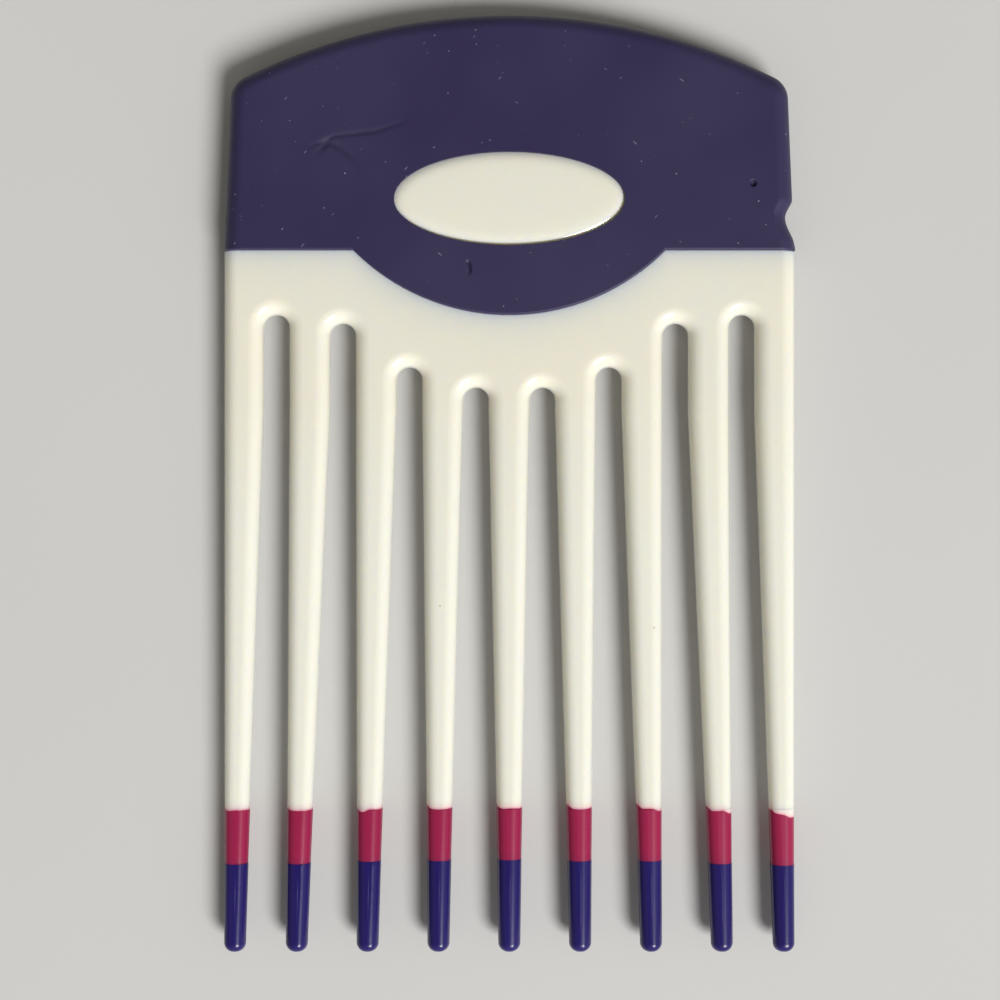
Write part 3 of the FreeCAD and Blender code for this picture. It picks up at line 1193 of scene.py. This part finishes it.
@dataclass
class RubberGrip(PieceMaker):
    """The overmoulded grip with the dents, the pit and the nick of long use, and a layer that holds the
    painted shade in the dents and the pit.
    """

    creases: tuple[Crease, ...] = (
        Crease(((-33.0, 53.95), (-30.2, 55.0), (-28.1, 55.95), (-21.6, 56.7), (-17.9, 57.95), (-15.2, 59.4)),
               depth=0.09, half_width=0.38, painted_shade=0.34),
        Crease(((-31.0, 53.0), (-29.9, 54.4), (-29.0, 54.9), (-27.5, 54.3), (-25.3, 52.4), (-23.6, 49.8)),
               depth=0.20, half_width=0.55, painted_shade=0.22),
        Crease(((-6.75, 36.1), (-6.5, 35.3), (-6.35, 34.6), (-6.6, 33.5)),
               depth=0.34, half_width=0.24, painted_shade=0.75),
    )
    pits: tuple[Pit, ...] = (Pit((39.2, 48.4), radius=0.66, depth=0.50, painted_shade=0.6),)
    nick: EdgeNick = EdgeNick()
    front: float = 7.35
    inner_wall: float = -0.3
    hollow_low: float = 1.95
    hollow_high: float = 5.45
    hollow_side: float = 45.4
    area_weight: int = 60

    def build(self, material: Material) -> bpy.types.Object:
        """Make the worn grip.

        Args:
            material: Its finish.

        Returns:
            The grip.
        """
        mesh = self.merged_copy("grip")
        for wear_and_shade in (*self.creases, *self.pits, self.nick):
            wear_and_shade.patch().cut(mesh)
            mesh.normal_update()
        # Painted shade: each dent and the pit darken the rubber in step with how far they sink.
        dent_shade_layer = mesh.verts.layers.float.new(DENT_SHADE)
        for vert in mesh.verts:
            x, y = vert.co.x / MM, vert.co.y / MM
            if vert.co.z > self.front * MM:
                for wear_and_shade in (*self.creases, *self.pits):
                    sink = wear_and_shade.sink(x, y)
                    vert[dent_shade_layer] = max(vert[dent_shade_layer], wear_and_shade.painted_shade * sink / wear_and_shade.depth)
                    vert.co.z -= MM * sink
            if x > self.nick.flat_from and self.is_outside(vert):
                vert.co.x += MM * self.nick.shift(x, y)
        bmesh.ops.triangulate(mesh, faces=[face for face in mesh.faces if len(face.verts) > 4])
        mesh.normal_update()
        piece = self.finish_piece(mesh, "rubber_grip", Slot.RUBBER, material)
        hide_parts("grip")
        even = piece.modifiers.new("even_shading", "WEIGHTED_NORMAL")
        even.mode, even.weight, even.keep_sharp = "FACE_AREA", self.area_weight, True
        return piece

    def is_outside(self, vert: Vert) -> bool:
        """Whether a vertex lies on the outside of the grip and not on the wall of its hollow."""
        return all(face.normal.x > self.inner_wall for face in vert.link_faces) and not (
            self.hollow_low * MM < vert.co.z < self.hollow_high * MM and vert.co.x < self.hollow_side * MM)


@dataclass
class Dips(PieceMaker):
    """The two coats on each tine's end; the second ends at each tine's own dip line."""

    layout: DipLayout = DipLayout()
    packed_edge: float = -61.2
    rim_depth: float = 0.02
    end_wall: float = 0.9
    feather: float = 0.065

    def names(self, coat: str) -> tuple[str, ...]:
        """The node names of one coat.

        Args:
            coat: The first word of the nodes' names.

        Returns:
            One name for each tine.
        """
        return tuple(f"{coat}_dip_{tine}" for tine, _ in enumerate(self.layout.tines, start=1))

    def dress_first(self, material: Material) -> None:
        """Give every first coat its finish.

        Args:
            material: The first dip's finish.
        """
        for name in self.names("magenta"):
            self.dress(self.nodes[name], material)
            LOG.info("%s: dressed", name)

    def build_second(self, tine: int, material: Material) -> bpy.types.Object:
        """Make one tine's second coat, thinned to a feather edge at its dip line.

        Args:
            tine: The tine, counted from 1 at the left.
            material: The second dip's finish.

        Returns:
            The coat.
        """
        node = f"violet_dip_{tine}"
        mesh = self.merged_copy(node)
        rim = [vert for vert in mesh.verts if vert.co.y > (self.packed_edge - self.rim_depth) * MM]
        middle = sum((vert.co for vert in rim), Vector()) / len(rim)
        for vert in rim:
            walls = [face.normal for face in vert.link_faces if abs(face.normal.y) < self.end_wall]
            outwards = sum(walls, Vector()).normalized()
            if outwards.dot(vert.co - middle) > 0:
                vert.co -= outwards * self.feather * MM
            vert.co.y += (self.layout.tines[tine - 1].second - self.packed_edge) * MM
        mesh.normal_update()
        piece = self.finish_piece(mesh, f"violet_coat_{tine}", Slot.VIOLET, material)
        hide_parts(node)
        return piece


# Studio


@dataclass(frozen=True)
class SoftLight:
    """A round soft light that faces the pick; its distance and size are in metres."""

    name: str
    direction: tuple[float, float, float]
    distance: float
    size: float
    watts: float
    tint: Colour

    def build(self) -> None:
        """Hang the light."""
        lamp = bpy.data.lights.new(self.name, "AREA")
        lamp.shape, lamp.size, lamp.energy, lamp.color = "DISK", self.size, self.watts, self.tint
        hung = bpy.data.objects.new(self.name, lamp)
        away = Vector(self.direction).normalized()
        hung.location = away * self.distance
        hung.rotation_mode = "QUATERNION"
        hung.rotation_quaternion = (-away).to_track_quat("-Z", "Y")
        bpy.context.scene.collection.objects.link(hung)


@dataclass
class Studio:
    """The floor, the light and the camera straight above."""

    floor_half: float = 5000.0
    floor_drop: float = 0.05
    floor_cells: int = 8
    camera_place: tuple[float, float, float] = (-1.515, -2.525, 283.7)
    lens: float = 61.9
    sensor: float = 36.0
    nearest: float = 10.0
    bright_tint: Colour = (1.0, 0.99, 0.985)
    dim_tint: Colour = (1.0, 0.94, 0.72)
    bright_side: tuple[float, float, float] = (0.50, -0.70, 0.50)
    bright_air: float = 0.46
    dim_air: float = 0.13
    side_blend: Point = (-0.7, 0.9)
    overhead_share: float = 0.30
    overhead_blend: Point = (0.78, 0.96)
    key: SoftLight = SoftLight("key_light", (0.42, -0.58, 0.72), distance=3.2, size=1.4, watts=115.5,
                               tint=(1.0, 1.0, 0.985))

    def build_floor(self, material: Material) -> None:
        """Lay the floor.

        Args:
            material: Its finish.
        """
        mesh = bmesh.new()
        bmesh.ops.create_grid(mesh, x_segments=self.floor_cells, y_segments=self.floor_cells,
                              size=self.floor_half * MM,
                              matrix=Matrix.Translation((0.0, 0.0, -self.floor_drop * MM)))
        data = bpy.data.meshes.new("floor")
        mesh.to_mesh(data)
        mesh.free()
        data.materials.append(material)
        floor = bpy.data.objects.new("floor", data)
        bpy.context.scene.collection.objects.link(floor)

    def light(self) -> None:
        """Hang the light, and let the air glow: bright on one side, dim and warm on the other."""
        self.key.build()
        world = bpy.data.worlds.new("studio_air")
        world.use_nodes = True
        wiring = Wiring(world.node_tree)
        ground = world.node_tree.nodes["Background"]
        way = wiring.node("TexCoord").outputs["Generated"]
        side = wiring.node("VectorMath", operation="DOT_PRODUCT")
        wiring.feed(way, side.inputs[0])
        wiring.feed(tuple(Vector(self.bright_side).normalized()), side.inputs[1])
        facing = wiring.rise(side.outputs["Value"], *self.side_blend)
        wiring.feed(wiring.mix(facing, self.dim_tint, self.bright_tint), ground.inputs["Color"])
        level = wiring.math("MULTIPLY_ADD", facing, self.bright_air - self.dim_air, self.dim_air)
        height = wiring.node("SeparateXYZ", {"Vector": way}).outputs["Z"]
        overhead = wiring.math("MULTIPLY_ADD", wiring.rise(height, *self.overhead_blend),
                               self.overhead_share - 1.0, 1.0)
        wiring.feed(wiring.math("MULTIPLY", level, overhead), ground.inputs["Strength"])
        bpy.context.scene.world = world
        bpy.context.scene.view_settings.view_transform = "Standard"

    def place_camera(self) -> None:
        """Set the camera straight above the pick."""
        lens = bpy.data.cameras.new("camera")
        lens.lens, lens.sensor_width = self.lens, self.sensor
        lens.clip_start = self.nearest * MM
        camera = bpy.data.objects.new("camera", lens)
        camera.location = Vector(self.camera_place) * MM
        bpy.context.scene.collection.objects.link(camera)
        bpy.context.scene.camera = camera


def main() -> None:
    """Build the studio and the pick."""
    logging.basicConfig(level=logging.INFO, format="%(name)s %(message)s")
    nodes = frame["nodes"]
    shelf = EffectShelf()
    ivory = TinePlastic("ivory_plastic", roughness=0.11, roughness_spread=0.03, bump=0.05, grain=900.0,
                        specular=0.5, glow=0.6).build(shelf)
    magenta = TinePlastic("magenta_coat", roughness=0.28, roughness_spread=0.05, bump=0.10, grain=1500.0,
                          specular=0.40).build(shelf)
    violet = TinePlastic("violet_coat", roughness=0.24, roughness_spread=0.05, bump=0.08, grain=1500.0,
                         specular=0.38).build(shelf)
    rubber = GripRubber("rubber", roughness=0.47, roughness_spread=0.06, bump=0.35, grain=5200.0,
                        specular=0.34).build(shelf)
    floor = FloorPaint("floor_paint", roughness=0.9, roughness_spread=0.04, bump=0.1, grain=900.0,
                       specular=0.1).build(shelf)

    studio = Studio()
    studio.place_camera()
    studio.build_floor(floor)
    studio.light()

    dips = Dips(nodes)
    dips.dress_first(magenta)
    coats = {node: dips.build_second(tine, violet)
             for tine, node in enumerate(dips.names("violet"), start=1)}
    moulding = Moulding(nodes | coats, dipped=(*dips.names("magenta"), *coats))
    moulding.dress_body(ivory)
    moulding.build_ridge(ivory)
    OvalBoss(nodes).build(ivory)
    RubberGrip(nodes).build(rubber)


if __name__ == "__main__":
    main()
